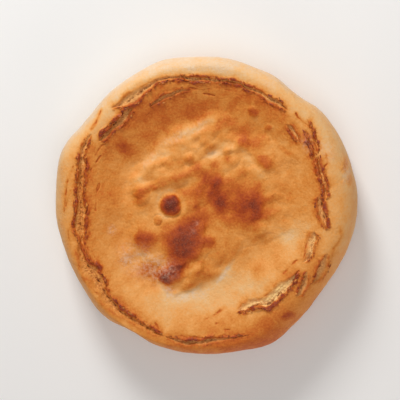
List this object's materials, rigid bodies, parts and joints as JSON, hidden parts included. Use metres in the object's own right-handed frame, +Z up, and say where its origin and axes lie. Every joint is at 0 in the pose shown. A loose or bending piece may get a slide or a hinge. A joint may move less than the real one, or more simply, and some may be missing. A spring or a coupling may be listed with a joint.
{
  "type": "shaobing",
  "caption": "Round baked flatbread with a thick raised rim, a sunken blistered face and a torn, flaky crust ring, lying flat with the face up.",
  "frame": {"origin": "middle of the bread's bounding box at the height of its flat base, so the table is at Z 0", "axes": "+Z up through the sunken face, +X to the right and +Y to the top of the face as the picture shows it"},
  "size_m": [0.1622, 0.1602, 0.0378],
  "materials": {
    "crust": "matt baked crust, paler on the wall and browned on the face"
  },
  "bodies": {
    "root": {"shaobing": "crust"}
  },
  "joints": []
}
